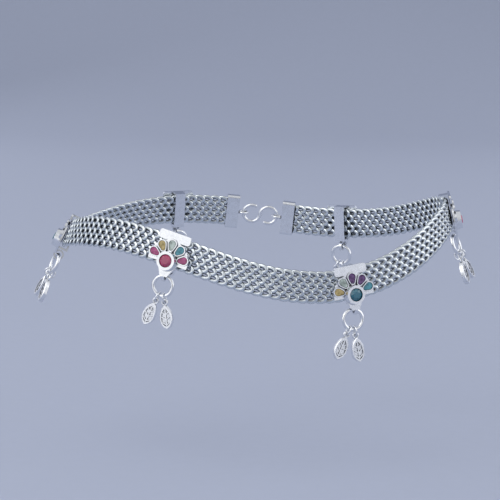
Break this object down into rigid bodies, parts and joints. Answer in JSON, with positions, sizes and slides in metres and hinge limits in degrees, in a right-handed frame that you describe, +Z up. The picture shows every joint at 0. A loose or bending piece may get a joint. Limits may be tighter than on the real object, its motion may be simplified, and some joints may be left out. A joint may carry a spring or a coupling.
{
  "type": "payal anklet",
  "caption": "Flat woven silver-tone chain anklet in its worn form, with enamel flower stations, round stones and paired leaf drops on jump rings.",
  "frame": {"origin": "centre of the ankle that the anklet goes round, at the mean height of the band", "axes": "+Z up the leg, +X towards the heel along the loop's longer axis, -Y the outer side that is seen"},
  "size_m": [0.1175, 0.0761, 0.0393],
  "materials": {
    "silver_weave": "bright silver links, darker in the gaps",
    "silver_plain": "polished silver sheet with light wear",
    "silver_wire": "polished silver wire",
    "silver_cast": "cast silver, bright rim and darkened recesses",
    "stone_pink": "faceted glass, pink-red",
    "stone_teal": "faceted glass, teal",
    "enamel": "glossy enamel fills in magenta, yellow, teal and purple"
  },
  "bodies": {
    "root": {"band": "silver_weave", "end_cap_left": "silver_plain", "end_cap_right": "silver_plain", "clasp_hook": "silver_wire", "station_plate_1": "silver_plain", "stone_1": "stone_teal", "enamel_petals_1": "enamel", "jump_ring_1": "silver_wire", "small_ring_1_left": "silver_wire", "drop_1_left": "silver_cast", "small_ring_1_right": "silver_wire", "drop_1_right": "silver_cast", "station_plate_2": "silver_plain", "stone_2": "stone_pink", "enamel_petals_2": "enamel", "jump_ring_2": "silver_wire", "small_ring_2_left": "silver_wire", "drop_2_left": "silver_cast", "small_ring_2_right": "silver_wire", "drop_2_right": "silver_cast", "station_plate_3": "silver_plain", "stone_3": "stone_teal", "enamel_petals_3": "enamel", "jump_ring_3": "silver_wire", "small_ring_3_left": "silver_wire", "drop_3_left": "silver_cast", "small_ring_3_right": "silver_wire", "drop_3_right": "silver_cast", "station_plate_4": "silver_plain", "stone_4": "stone_pink", "enamel_petals_4": "enamel", "jump_ring_4": "silver_wire", "small_ring_4_left": "silver_wire", "drop_4_left": "silver_cast", "small_ring_4_right": "silver_wire", "drop_4_right": "silver_cast", "station_plate_5": "silver_plain", "stone_5": "stone_teal", "enamel_petals_5": "enamel", "jump_ring_5": "silver_wire", "small_ring_5_left": "silver_wire", "drop_5_left": "silver_cast", "small_ring_5_right": "silver_wire", "drop_5_right": "silver_cast", "station_plate_6": "silver_plain", "stone_6": "stone_pink", "enamel_petals_6": "enamel", "jump_ring_6": "silver_wire", "small_ring_6_left": "silver_wire", "drop_6_left": "silver_cast", "small_ring_6_right": "silver_wire", "drop_6_right": "silver_cast"}
  },
  "joints": []
}
